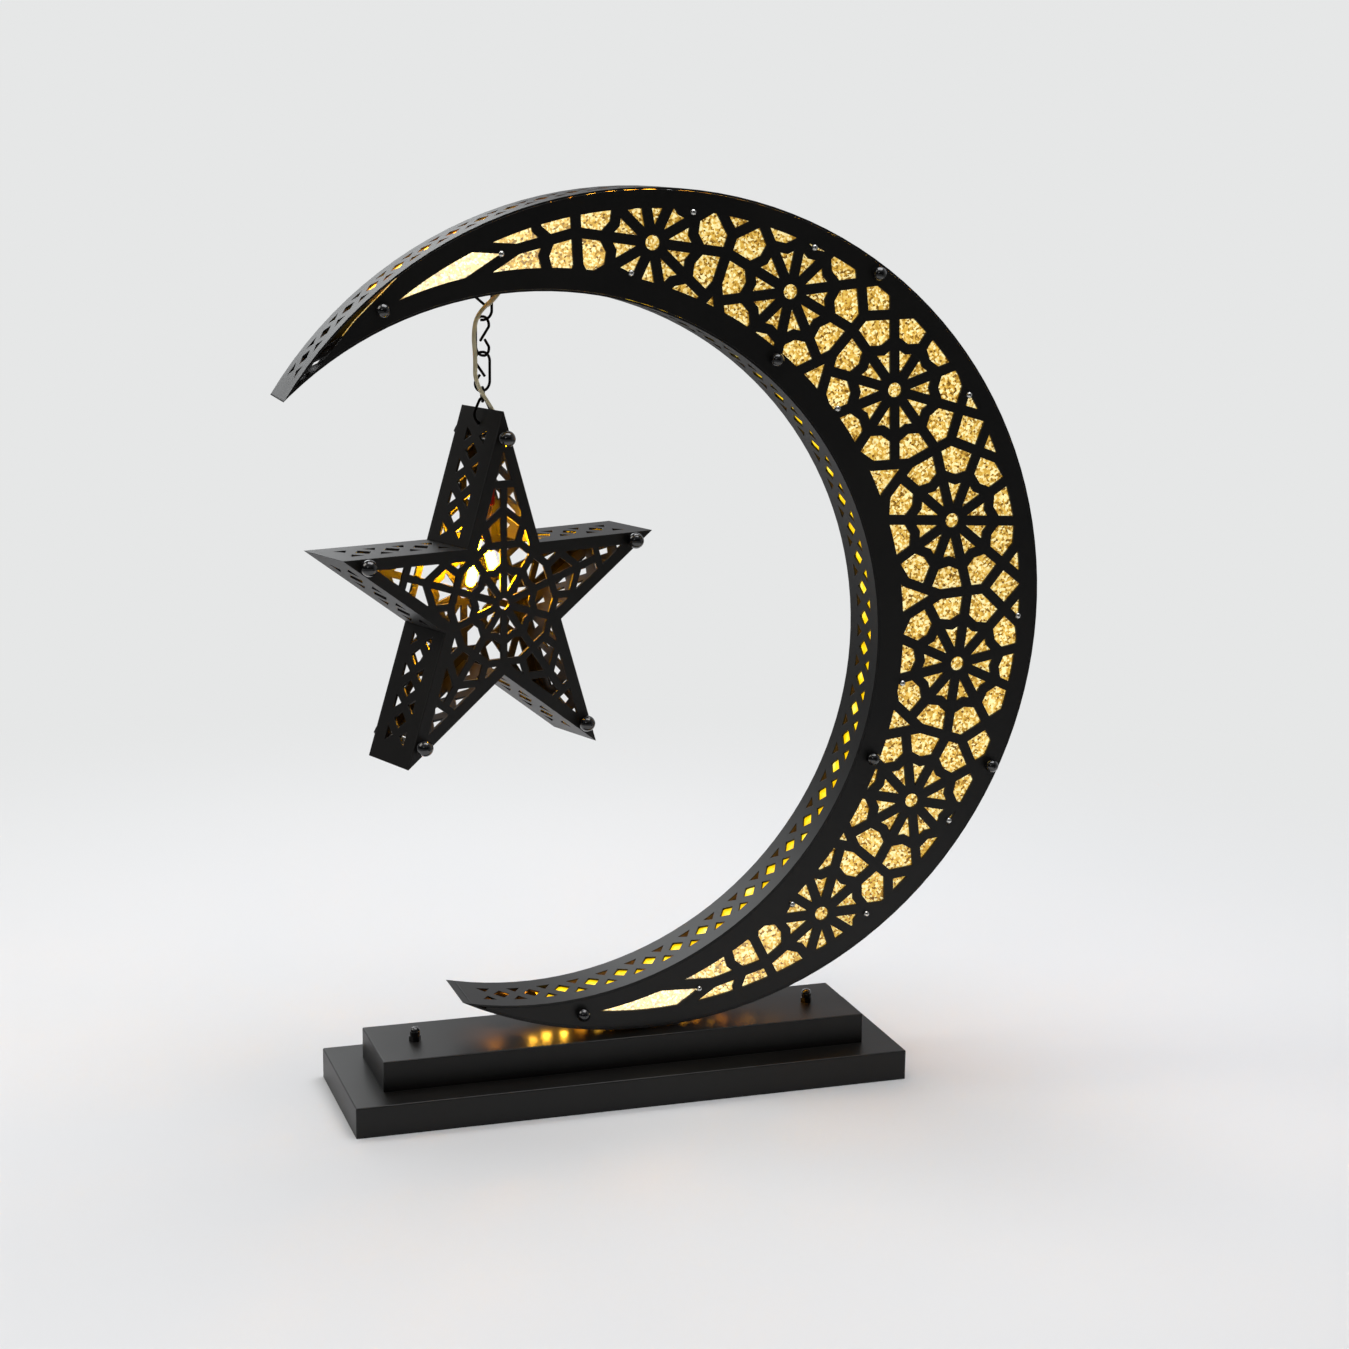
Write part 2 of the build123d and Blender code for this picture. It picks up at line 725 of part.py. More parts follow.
with BuildPart() as foot_nuts:
    with BuildSketch(Plane.XY.offset(foot_nut_z)):
        with Locations((crescent_x, 0)):
            with GridLocations(1, foot_screw_spacing, 1, 2):
                RegularPolygon(foot_nut_flats / 2, 6, major_radius=False)
                Circle(foot_screw_radius + seam, mode=Mode.SUBTRACT)
    extrude(amount=-foot_nut_height)
foot_nuts.part.label = "foot_nuts"
export_step(foot_nuts.part, "parts/foot_nuts.step")

with BuildPart() as wire_grommet:
    with BuildSketch(Plane.XY.offset(base_top)):
        with Locations((crescent_x, 0)):
            Circle(grommet_radius + grommet_flange)
            Circle(grommet_bore, mode=Mode.SUBTRACT)
    extrude(amount=grommet_flange)
    with BuildSketch(Plane.XY.offset(base_top)):
        with Locations((crescent_x, 0)):
            Circle(grommet_radius - seam)
            Circle(grommet_bore, mode=Mode.SUBTRACT)
    extrude(amount=-2 * base_sheet)
wire_grommet.part.label = "wire_grommet"
export_step(wire_grommet.part, "parts/wire_grommet.step")

# Chain. Its first link straddles a rib of the inner wall, through the diamonds on either side,
# and each link hangs in the one above with a running gap between the wires.
hanger_top = hanger_point.Z + link_half_width
hang = wire + running
hanger_bottom = hanger_top - link_length
upper_top = hanger_bottom + hang
upper_bottom = upper_top - link_length
lower_top = upper_bottom + hang
lower_bottom = lower_top - link_length
ring_top = lower_bottom + hang
ring_bottom = ring_top - ring_length
hook_top = ring_bottom + hang
hook_bottom = hook_top - hook_length


def link_plane(turn, top, bottom):
    """The upright plane of a link of the chain, at the middle of its length."""
    return Plane(
        origin=(chain_x, 0, (top + bottom) / 2),
        x_dir=(cos(radians(turn)), sin(radians(turn)), 0),
        z_dir=(sin(radians(turn)), -cos(radians(turn)), 0),
    )


def pinched_link(plane, kink, corner, arm_end):
    """A link bent from one wire, with its two ends turned in across the waist from one side."""
    top, side = link_length / 2, link_half_width
    with BuildLine(plane) as path:
        FilletPolyline(
            (arm_reach, -arm_drop),
            (-side, kink),
            (-side, top),
            (side, top),
            (side, -top),
            (-side, -top),
            (-side, -link_kink),
            (-arm_stop, -arm_end),
            radius=[wire, corner, side - seam, side - seam, link_corner, wire],
        )
    with BuildSketch(Plane(origin=path.line @ 0, z_dir=path.line % 0)) as section:
        Circle(wire / 2)
    sweep(section.sketch, path=path.line)


def round_link(plane, length, top_radius, low_radius):
    """A closed link of wire with round ends, which may differ in width."""
    top, low = length / 2 - top_radius, low_radius - length / 2
    lean = asin((low_radius - top_radius) / (top - low))
    across, rise = cos(lean), sin(lean)
    top_x, top_y = top_radius * across, top + top_radius * rise
    low_x, low_y = low_radius * across, low + low_radius * rise
    with BuildLine(plane) as path:
        Line((low_x, low_y), (top_x, top_y))
        ThreePointArc((top_x, top_y), (0, length / 2), (-top_x, top_y))
        Line((-top_x, top_y), (-low_x, low_y))
        ThreePointArc((-low_x, low_y), (0, -length / 2), (low_x, low_y))
    with BuildSketch(Plane(origin=path.line @ 0, z_dir=path.line % 0)) as section:
        Circle(wire / 2)
    sweep(section.sketch, path=path.line)


with BuildPart() as hanger_link:
    pinched_link(link_plane(0, hanger_top, hanger_bottom), hanger_kink, link_half_width - seam,
                 hanger_arm_end)
hanger_link.part.label = "hanger_link"
export_step(hanger_link.part, "parts/hanger_link.step")

with BuildPart() as chain_link_upper:
    pinched_link(link_plane(upper_link_turn, upper_top, upper_bottom), link_kink, link_corner, link_arm_end)
chain_link_upper.part.label = "chain_link_upper"
export_step(chain_link_upper.part, "parts/chain_link_upper.step")

with BuildPart() as chain_link_lower:
    pinched_link(link_plane(lower_link_turn, lower_top, lower_bottom), link_kink, link_corner, link_arm_end)
chain_link_lower.part.label = "chain_link_lower"
export_step(chain_link_lower.part, "parts/chain_link_lower.step")

ring_radius = ring_length / 2 - seam
with BuildPart() as chain_ring:
    round_link(link_plane(ring_turn, ring_top, ring_bottom), ring_length, ring_radius, ring_radius)
chain_ring.part.label = "chain_ring"
export_step(chain_ring.part, "parts/chain_ring.step")

with BuildPart() as star_hook:
    round_link(link_plane(star_turn, hook_top, hook_bottom), hook_length, hook_top_radius, link_half_width)
star_hook.part.label = "star_hook"
export_step(star_hook.part, "parts/star_hook.step")

# Star. Its top tip hangs on the hook by two holes in its folded walls.
tip_run = star_tip - star_notch * cos(radians(36))
tip_half_angle = degrees(atan(star_notch * sin(radians(36)) / tip_run))
star_z = hook_bottom + hook_drop - star_tip
star_plane = link_plane(star_turn, star_z, star_z)
inner_depth = star_depth - 2 * star_sheet
star_outline = []
for k in range(5):
    star_outline.append(polar(star_tip, 90 + 72 * k))
    star_outline.append(polar(star_notch, 126 + 72 * k))
tip_places = [Location((0, 0, 0), (0, 0, 72 * k)) for k in range(5)]
screw_points = [polar(star_screw, 90 + 72 * k) for k in range(5)]

with BuildSketch() as star_openings:
    Polygon(*star_outline, align=None)
    offset(amount=-star_border, kind=Kind.INTERSECTION)
    # Straps that cross each tip: one along it, a roof, two at the sides and one across
    with Locations(*tip_places):
        Rectangle(star_strap, star_cross, align=(Align.CENTER, Align.MIN), mode=Mode.SUBTRACT)
        with Locations((0, star_cross)):
            Rectangle(star_tip, star_strap, mode=Mode.SUBTRACT)
        for side in (-1, 1):
            with Locations((0, star_roof)):
                Rectangle(star_tip / 3, star_strap, rotation=side * 36, mode=Mode.SUBTRACT,
                          align=(Align.MAX if side > 0 else Align.MIN, Align.CENTER))
            with Locations((side * star_side_strap, star_cell)):
                Rectangle(star_strap, star_roof - star_cell, rotation=-side * 18,
                          align=(Align.CENTER, Align.MIN), mode=Mode.SUBTRACT)
    RegularPolygon(star_cell + star_strap / 2, 10, major_radius=False, mode=Mode.SUBTRACT)
    with PolarLocations(0, 10):
        Polygon(*dart(-18, 18, star_strap, star_ring - star_strap / 2), align=None)
        Polygon(*petal(-18, 18, -18, 18, star_strap, star_ring + star_strap / 2,
                       star_cell - star_strap / 2), align=None)
    Circle(star_hub)

star_lattice = [face for face in star_openings.sketch.faces() if face.area > least_opening / 3]


def star_plate(plane):
    """One pierced face of the star."""
    with BuildSketch(plane) as face:
        Polygon(*star_outline, align=None)
        add(star_lattice, mode=Mode.SUBTRACT)
        with Locations(*screw_points):
            Circle(screw_radius + fit, mode=Mode.SUBTRACT)
    extrude(face.sketch, amount=star_sheet)


with BuildPart() as star_front_plate:
    star_plate(star_plane.offset(inner_depth / 2))
star_front_plate.part.label = "star_front_plate"
export_step(star_front_plate.part, "parts/star_front_plate.step")

with BuildPart() as star_back_plate:
    star_plate(star_plane.offset(-star_depth / 2))
star_back_plate.part.label = "star_back_plate"
export_step(star_back_plate.part, "parts/star_back_plate.step")


def star_wall_plane(tip, side, along):
    """A plane on one side wall of a tip, at a distance from the tip's point."""
    wall_angle = 90 + 72 * tip - side * (180 - tip_half_angle)
    point = polar(star_tip, 90 + 72 * tip)
    point = polar(along, wall_angle, point)
    out = polar(1, wall_angle + side * 90)
    return Plane(
        origin=star_plane.from_local_coords(Vector(*point, 0)),
        x_dir=star_plane.x_dir * cos(radians(wall_angle)) + star_plane.y_dir * sin(radians(wall_angle)),
        z_dir=star_plane.x_dir * out[0] + star_plane.y_dir * out[1],
    )


# Side walls of the star, one strip folded at each tip and pierced with diamonds.
# The hook's round end has risen a little where it goes through them.
hook_cross = hook_drop * tan(radians(tip_half_angle)) - star_sheet / 2
hook_rise = link_half_width - sqrt(link_half_width ** 2 - hook_cross ** 2)
hook_along = (hook_drop - hook_rise) / cos(radians(tip_half_angle))
with BuildPart() as star_side_walls:
    with BuildSketch(star_plane.offset(-inner_depth / 2)):
        Polygon(*star_outline, align=None)
        offset(amount=-star_sheet, kind=Kind.INTERSECTION, mode=Mode.SUBTRACT)
        with PolarLocations(0, 5, start_angle=126):
            Rectangle(star_tip, fold_gap, align=(Align.MIN, Align.CENTER), mode=Mode.SUBTRACT)
    extrude(amount=inner_depth)
    for tip in range(5):
        for side in (-1, 1):
            for k in range(star_wall_diamonds):
                with BuildSketch(star_wall_plane(tip, side, star_wall_start + k * star_wall_pitch)):
                    diamond(diamond_width, diamond_height)
            for k in range(star_wall_diamonds + 1):
                with BuildSketch(star_wall_plane(tip, side, star_wall_start + (k - 0.5) * star_wall_pitch)):
                    triangles()
    for side in (-1, 1):
        with BuildSketch(star_wall_plane(0, side, hook_along)):
            Circle(hook_hole)
    extrude(amount=2 * star_sheet, both=True, mode=Mode.SUBTRACT)
star_side_walls.part.label = "star_side_walls"
export_step(star_side_walls.part, "parts/star_side_walls.step")

# Tubes between the star's two faces, under its screws
with BuildPart() as star_tubes:
    with BuildSketch(star_plane.offset(-inner_depth / 2)):
        with Locations(*screw_points):
            Circle(star_tube_radius)
            Circle(post_bore, mode=Mode.SUBTRACT)
    extrude(amount=inner_depth)
star_tubes.part.label = "star_tubes"
export_step(star_tubes.part, "parts/star_tubes.step")

# Ball-headed screws at the star's tips, and the nuts behind them
with BuildPart() as star_screw_form:
    revolve(ball_profile(star_ball_radius, star_ball_rise, screw_radius, star_depth + star_nut_height),
            axis=Axis.Z)

star_face = star_plane.offset(star_depth / 2)
star_ball_screws = placed_copies(
    "star_ball_screws", star_screw_form.part.solid(),
    [star_face.location * Location((*point, 0)) for point in screw_points],
)
export_step(star_ball_screws, "parts/star_ball_screws.step")

with BuildPart() as star_nuts:
    with BuildSketch(star_plane.offset(-star_depth / 2)):
        with Locations(*screw_points):
            RegularPolygon(star_nut_flats / 2, 6, major_radius=False)
            Circle(screw_radius + seam, mode=Mode.SUBTRACT)
    extrude(amount=-star_nut_height)
star_nuts.part.label = "star_nuts"
export_step(star_nuts.part, "parts/star_nuts.step")

# Lamp holder in the star's top arm, with its two leads up to the splice and two small lamps below it
splice_bottom = splice_rise - splice_length / 2
with BuildPart() as lamp_holder:
    with BuildSketch(Plane(origin=star_plane.from_local_coords(Vector(0, holder_rise, 0)))):
        Circle(holder_radius)
    extrude(amount=holder_height / 2, both=True)
    fillet(lamp_holder.edges(), holder_radius / 6)
    for side in (-1, 1):
        foot_place = star_plane.from_local_coords(Vector(lead_spread + side, holder_rise, 0))
        head_place = star_plane.from_local_coords(Vector(splice_side + side, splice_bottom - lead_radius, 0))
        with BuildSketch(Plane(origin=foot_place, z_dir=head_place - foot_place)):
            Circle(lead_radius)
        extrude(amount=(head_place - foot_place).length)
lamp_holder.part.label = "lamp_holder"
export_step(lamp_holder.part, "parts/lamp_holder.step")

lamp_foot = star_plane.from_local_coords(Vector(0, holder_rise - holder_height / 2, 0))
with BuildPart() as lamps:
    for side, lead in ((1, short_lead), (-1, long_lead)):
        down = star_plane.x_dir * (side * sin(radians(lamp_lean))) - Vector(0, 0, cos(radians(lamp_lean)))
        start = lamp_foot + star_plane.x_dir * (side * lead_spread)
        stem = Plane(origin=start + down * (lead_radius * tan(radians(lamp_lean))), z_dir=down)
        with BuildSketch(stem):
            Circle(lead_radius)
        extrude(amount=lead)
        with BuildSketch(stem.offset(lead)):
            Circle(lamp_radius)
        extrude(amount=lamp_length)
        with Locations(stem.offset(lead + lamp_length).location):
            Sphere(lamp_radius)
lamps.part.label = "lamps"
export_step(lamps.part, "parts/lamps.step")

# Bracket from the star's back face to the lamp holder
with BuildPart() as lamp_bracket:
    with BuildSketch(star_plane.offset(-inner_depth / 2)):
        with Locations((0, holder_rise)):
            Rectangle(bracket_width, holder_height)
    extrude(amount=bracket_sheet)
    with BuildSketch(star_plane.offset(-inner_depth / 2)):
        with Locations((0, holder_rise)):
            Rectangle(bracket_width, bracket_sheet)
    extrude(amount=inner_depth / 2 - holder_radius - seam)
lamp_bracket.part.label = "lamp_bracket"
export_step(lamp_bracket.part, "parts/lamp_bracket.step")

# Splice where the flex joins the lamp holder's leads
with BuildPart() as wire_splice:
    with BuildSketch(Plane(origin=star_plane.from_local_coords(Vector(splice_side, splice_rise, 0)))):
        Circle(splice_radius)
    extrude(amount=splice_length / 2, both=True)
    fillet(wire_splice.edges(), splice_radius / 3)
wire_splice.part.label = "wire_splice"
export_step(wire_splice.part, "parts/wire_splice.step")

# Flex, in three lengths that bend with the chain: from a terminal block out through the inner wall,
# down beside the chain, and into the star's top arm to the splice
block_face = half_depth - plate_sheet - block_depth
flex_top = hanger_point.Z


def beside_chain(x, y, z):
    """A place beside the chain, measured down from the wall it hangs on."""
    return Vector(chain_x + x, y, flex_top + z)


def beside_star(x, front, z):
    """A place beside the star's top arm, measured across it, forward and up from its tip."""
    return star_plane.from_local_coords(Vector(x, star_tip + z, front))


flex_route = [
    beside_chain(15.7, block_face, 20.6),
    beside_chain(15.7, 1.5, 20.6),
    beside_chain(10.6, 0.2, 8.0),
    beside_chain(9.0, -2.2, -1.0),
    beside_chain(-4.2, -7.2, -10.6),
    beside_chain(-6.5, -7.6, -20.5),
    beside_chain(-5.3, -7.3, -33.0),
    beside_chain(-5.6, -6.8, -44.5),
    beside_star(1.5, 6.0, 0.5),
    beside_star(8.5, 3.5, -8.5),
    beside_star(10.5, 0, -18.5),
    beside_star(5.0, 0, -25.0),
    beside_star(4.7, 0.5, -33.0),
    beside_star(splice_side, 0, splice_rise + splice_length / 2 + seam - star_tip),
]

# Terminal block on the back plate, where the flex starts
with BuildPart() as terminal_block:
    with BuildSketch(Plane.XZ.offset(-block_face)):
        with Locations((flex_route[0].X, flex_route[0].Z)):
            Rectangle(block_width, block_height)
    extrude(amount=-block_depth)
    fillet(terminal_block.edges().filter_by(Axis.Y), block_bore / 2)
    with BuildSketch(Plane.XZ.offset(-block_face)):
        with Locations((flex_route[0].X, flex_route[0].Z)):
            with GridLocations(block_width - 2 * block_bore - 2, 1, 2, 1):
                Circle(block_bore)
    extrude(amount=-block_depth / 2, mode=Mode.SUBTRACT)
terminal_block.part.label = "terminal_block"
export_step(terminal_block.part, "parts/terminal_block.step")

upper_joint = flex_route[3] + (flex_route[4] - flex_route[3]) * upper_split
lower_joint = flex_route[7] + (flex_route[8] - flex_route[7]) * lower_split
flex_lengths = {
    "flex_upper": flex_route[:4] + [upper_joint],
    "flex_middle": [upper_joint] + flex_route[4:8] + [lower_joint],
    "flex_lower": [lower_joint] + flex_route[8:],
}


def bend_radii(points):
    """The radius of each bend of a length of flex, as large as the runs beside it allow."""
    radii = []
    for before, at, following in zip(points, points[1:], points[2:]):
        turn = radians((at - before).get_angle(following - at))
        run = min((at - before).length, (following - at).length)
        radii.append(bend_share * run / tan(turn / 2))
    return radii


def flex_length(points):
    """One length of the flex, swept along rounded bends."""
    with BuildLine() as path:
        FilletPolyline(*points, radius=bend_radii(points))
    with BuildSketch(Plane(origin=path.line @ 0, z_dir=path.line % 0)) as section:
        Circle(flex_diameter / 2)
    sweep(section.sketch, path=path.line)


with BuildPart() as flex_upper:
    flex_length(flex_lengths["flex_upper"])
flex_upper.part.label = "flex_upper"
export_step(flex_upper.part, "parts/flex_upper.step")

with BuildPart() as flex_middle:
    flex_length(flex_lengths["flex_middle"])
flex_middle.part.label = "flex_middle"
export_step(flex_middle.part, "parts/flex_middle.step")

with BuildPart() as flex_lower:
    flex_length(flex_lengths["flex_lower"])
flex_lower.part.label = "flex_lower"
export_step(flex_lower.part, "parts/flex_lower.step")

for name, points in flex_lengths.items():
    print(name, "bend radii", [round(radius, 1) for radius in bend_radii(points)])
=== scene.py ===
import json
import math

import bpy
from mathutils import Matrix, Vector


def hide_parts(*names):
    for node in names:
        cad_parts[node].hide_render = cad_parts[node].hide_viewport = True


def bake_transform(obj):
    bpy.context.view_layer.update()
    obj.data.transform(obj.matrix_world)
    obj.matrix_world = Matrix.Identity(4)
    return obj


# Eid crescent ornament: looks, flex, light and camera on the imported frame.
# All lengths are in metres, in the frame's own axes: +X right, -Y front, +Z up.

MM = 0.001
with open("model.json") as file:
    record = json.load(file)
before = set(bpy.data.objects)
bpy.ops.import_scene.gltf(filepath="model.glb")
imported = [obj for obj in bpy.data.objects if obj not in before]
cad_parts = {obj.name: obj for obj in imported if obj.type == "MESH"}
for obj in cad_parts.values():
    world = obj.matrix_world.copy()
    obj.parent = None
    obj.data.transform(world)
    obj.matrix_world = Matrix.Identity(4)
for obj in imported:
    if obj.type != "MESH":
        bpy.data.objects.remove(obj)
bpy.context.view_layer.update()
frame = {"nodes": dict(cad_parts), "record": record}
scene = bpy.context.scene
scene.view_settings.view_transform = "Standard"
# Lean of the crescent's axis from the level, as in the part's source
crescent_tilt = math.radians(15.52)
# Sockets of the Mix node's colours, which have the same names as those of its other kinds
MIX_FIRST = 6
MIX_SECOND = 7
MIX_RESULT = 2


def linear(code):
    """An sRGB hex colour as linear RGBA."""
    channels = []
    for k in (0, 2, 4):
        value = int(code[k:k + 2], 16) / 255
        channels.append(value / 12.92 if value <= 0.04045 else ((value + 0.055) / 1.055) ** 2.4)
    return (*channels, 1)


def add_node(tree, kind, settings=None, values=None, links=None):
    """A node with its settings, its socket values and what is linked into it."""
    node = tree.nodes.new(kind)
    for name, value in (settings or {}).items():
        setattr(node, name, value)
    for name, value in (values or {}).items():
        node.inputs[name].default_value = value
    for name, socket in (links or {}).items():
        tree.links.new(socket, node.inputs[name])
    return node


def new_material(name):
    """An empty node material and its tree."""
    material = bpy.data.materials.new(name)
    material.use_nodes = True
    material.node_tree.nodes.clear()
    return material, material.node_tree


def set_ramp(node, stops):
    """The colours of a colour ramp, as pairs of place and hex code."""
    elements = node.color_ramp.elements
    while len(elements) < len(stops):
        elements.new(0.5)
    for element, (place, code) in zip(elements, stops):
        element.position = place
        element.color = linear(code)


def finish_surface(tree, shader):
    """Links a shader to the material's surface."""
    output = add_node(tree, "ShaderNodeOutputMaterial")
    tree.links.new(shader.outputs[0], output.inputs["Surface"])


# Satin black powder coat on sheet steel: a fine orange peel breaks up its reflections, and its
# edges are a little rounded so that they catch a line of light. The real peel is about 0.4 mm,
# drawn at 1.2 mm so that it shows.
def powder_coat():
    peel_width = 1.2 * MM
    cloud_width = 45 * MM
    edge_round = 0.35 * MM
    peel_height = 0.03 * MM
    material, tree = new_material("satin_black_powder_coat")
    place = add_node(tree, "ShaderNodeTexCoord")
    peel = add_node(tree, "ShaderNodeTexNoise", values={"Scale": 1 / peel_width, "Detail": 2.0},
                    links={"Vector": place.outputs["Object"]})
    cloud = add_node(tree, "ShaderNodeTexNoise", values={"Scale": 1 / cloud_width, "Detail": 3.0},
                     links={"Vector": place.outputs["Object"]})
    colour = add_node(tree, "ShaderNodeValToRGB", links={"Fac": cloud.outputs["Fac"]})
    set_ramp(colour, [(0.3, "0c0b0a"), (0.7, "14120f")])
    rough = add_node(tree, "ShaderNodeMapRange", values={"To Min": 0.36, "To Max": 0.46},
                     links={"Value": cloud.outputs["Fac"]})
    edge = add_node(tree, "ShaderNodeBevel", settings={"samples": 8}, values={"Radius": edge_round})
    bump = add_node(tree, "ShaderNodeBump", values={"Strength": 0.06, "Distance": peel_height},
                    links={"Height": peel.outputs["Fac"], "Normal": edge.outputs["Normal"]})
    shader = add_node(tree, "ShaderNodeBsdfPrincipled", values={"IOR": 1.4},
                      links={"Base Color": colour.outputs["Color"],
                             "Roughness": rough.outputs["Result"],
                             "Normal": bump.outputs["Normal"]})
    finish_surface(tree, shader)
    return material


# Black nickel on the ball-headed screws and nuts: a hard, dark mirror with fine polishing haze
def black_nickel():
    haze_width = 2.5 * MM
    material, tree = new_material("polished_black_nickel")
    place = add_node(tree, "ShaderNodeTexCoord")
    haze = add_node(tree, "ShaderNodeTexNoise", values={"Scale": 1 / haze_width, "Detail": 3.0},
                    links={"Vector": place.outputs["Object"]})
    colour = add_node(tree, "ShaderNodeValToRGB", links={"Fac": haze.outputs["Fac"]})
    set_ramp(colour, [(0.35, "0a0a0b"), (0.7, "151516")])
    rough = add_node(tree, "ShaderNodeMapRange", values={"To Min": 0.1, "To Max": 0.2},
                     links={"Value": haze.outputs["Fac"]})
    shader = add_node(tree, "ShaderNodeBsdfPrincipled",
                      values={"IOR": 1.6, "Coat Weight": 0.6, "Coat Roughness": 0.06},
                      links={"Base Color": colour.outputs["Color"],
                             "Roughness": rough.outputs["Result"]})
    finish_surface(tree, shader)
    return material


# A metal with a grain of its own: zinc plate on the studs and fixings, oiled wire on the chain
def plain_metal(name, dark, light, low_rough, high_rough, grain):
    material, tree = new_material(name)
    place = add_node(tree, "ShaderNodeTexCoord")
    mottle = add_node(tree, "ShaderNodeTexNoise", values={"Scale": 1 / grain, "Detail": 4.0},
                      links={"Vector": place.outputs["Object"]})
    colour = add_node(tree, "ShaderNodeValToRGB", links={"Fac": mottle.outputs["Fac"]})
    set_ramp(colour, [(0.3, dark), (0.7, light)])
    rough = add_node(tree, "ShaderNodeMapRange", values={"To Min": low_rough, "To Max": high_rough},
                     links={"Value": mottle.outputs["Fac"]})
    shader = add_node(tree, "ShaderNodeBsdfPrincipled", values={"Metallic": 1.0},
                      links={"Base Color": colour.outputs["Color"],
                             "Roughness": rough.outputs["Result"]})
    finish_surface(tree, shader)
    return material


# A moulded piece, of plastic, rubber or ceramic, with a faint unevenness in its colour and skin
def moulded_piece(name, dark, light, roughness, grain):
    skin_height = 0.05 * MM
    material, tree = new_material(name)
    place = add_node(tree, "ShaderNodeTexCoord")
    cloud = add_node(tree, "ShaderNodeTexNoise", values={"Scale": 1 / grain, "Detail": 3.0},
                     links={"Vector": place.outputs["Object"]})
    colour = add_node(tree, "ShaderNodeValToRGB", links={"Fac": cloud.outputs["Fac"]})
    set_ramp(colour, [(0.3, dark), (0.7, light)])
    bump = add_node(tree, "ShaderNodeBump", values={"Strength": 0.1, "Distance": skin_height},
                    links={"Height": cloud.outputs["Fac"]})
    shader = add_node(tree, "ShaderNodeBsdfPrincipled", values={"Roughness": roughness},
                      links={"Base Color": colour.outputs["Color"],
                             "Normal": bump.outputs["Normal"]})
    finish_surface(tree, shader)
    return material


# Amber acrylic with a gold crackle, lit from behind: grains of about 1 mm from brown to pale
# gold, and a glow that turns almost white in the two pointed ends where the lamps are near
def amber_crackle():
    grain_width = 1.1 * MM
    fleck_width = 2.2 * MM
    drift_width = 60 * MM
    glow_start = -130 * MM
    glow_end = 3 * MM
    end_glow = 2.2
    fleck_share = 0.5
    material, tree = new_material("amber_crackle_acrylic")
    place = add_node(tree, "ShaderNodeTexCoord")
    grains = add_node(tree, "ShaderNodeTexVoronoi", settings={"feature": "F1"},
                      values={"Scale": 1 / grain_width, "Randomness": 1.0},
                      links={"Vector": place.outputs["Object"]})
    flecks = add_node(tree, "ShaderNodeTexNoise", values={"Scale": 1 / fleck_width, "Detail": 3.0},
                      links={"Vector": place.outputs["Object"]})
    drift = add_node(tree, "ShaderNodeTexNoise", values={"Scale": 1 / drift_width, "Detail": 2.0},
                     links={"Vector": place.outputs["Object"]})
    split = add_node(tree, "ShaderNodeSeparateColor", links={"Color": grains.outputs["Color"]})
    tone = add_node(tree, "ShaderNodeMapRange", values={"To Min": -0.06, "To Max": 0.8},
                    links={"Value": split.outputs["Red"]})
    mixed = add_node(tree, "ShaderNodeMath", settings={"operation": "MULTIPLY_ADD"},
                     values={1: fleck_share},
                     links={0: flecks.outputs["Fac"], 2: tone.outputs["Result"]})
    colour = add_node(tree, "ShaderNodeValToRGB", links={"Fac": mixed.outputs["Value"]})
    set_ramp(colour, [(0.2, "68460f"), (0.42, "bd9136"), (0.68, "ddb450"), (0.94, "fcebaa")])
    # How far a place lies towards the crescent's open side, along its leaning axis
    along = add_node(tree, "ShaderNodeVectorMath", settings={"operation": "DOT_PRODUCT"},
                     values={1: (-math.cos(crescent_tilt), 0, -math.sin(crescent_tilt))},
                     links={0: place.outputs["Object"]})
    reach = add_node(tree, "ShaderNodeMapRange",
                     values={"From Min": glow_start, "From Max": glow_end},
                     links={"Value": along.outputs["Value"]})
    tips = add_node(tree, "ShaderNodeValToRGB", links={"Fac": reach.outputs["Result"]})
    set_ramp(tips, [(0.0, "000000"), (0.57, "6c6c6c"), (0.62, "a4a4a4"), (0.94, "a4a4a4"),
                    (1.0, "000000")])
    pale = add_node(tree, "ShaderNodeMix", settings={"data_type": "RGBA"},
                    values={MIX_SECOND: linear("fff6d6")},
                    links={"Factor": tips.outputs["Color"], MIX_FIRST: colour.outputs["Color"]})
    # The glow drifts a little along the panel
    warm = add_node(tree, "ShaderNodeMapRange",
                    values={"From Min": 0.3, "From Max": 0.7, "To Min": 0.88, "To Max": 1.04},
                    links={"Value": drift.outputs["Fac"]})
    glow = add_node(tree, "ShaderNodeMath", settings={"operation": "MULTIPLY_ADD"},
                    values={1: end_glow},
                    links={0: tips.outputs["Color"], 2: warm.outputs["Result"]})
    shader = add_node(tree, "ShaderNodeBsdfPrincipled", values={"Roughness": 0.3},
                      links={"Base Color": colour.outputs["Color"],
                             "Emission Color": pale.outputs[MIX_RESULT],
                             "Emission Strength": glow.outputs["Value"]})
    finish_surface(tree, shader)
    return material


# Phosphor silicone over the strips of lamps: a strong yellow with pale hot spots
def lamp_strip(name, tones, glow):
    spot_width = 9 * MM
    material, tree = new_material(name)
    place = add_node(tree, "ShaderNodeTexCoord")
    spots = add_node(tree, "ShaderNodeTexNoise", values={"Scale": 1 / spot_width, "Detail": 2.0},
                     links={"Vector": place.outputs["Object"]})
    colour = add_node(tree, "ShaderNodeValToRGB", links={"Fac": spots.outputs["Fac"]})
    set_ramp(colour, [(0.4, tones[0]), (0.58, tones[1]), (0.72, tones[2])])
    shader = add_node(tree, "ShaderNodeBsdfPrincipled",
                      values={"Roughness": 0.5, "Emission Strength": glow},
                      links={"Base Color": colour.outputs["Color"],
                             "Emission Color": colour.outputs["Color"]})
    finish_surface(tree, shader)
    return material


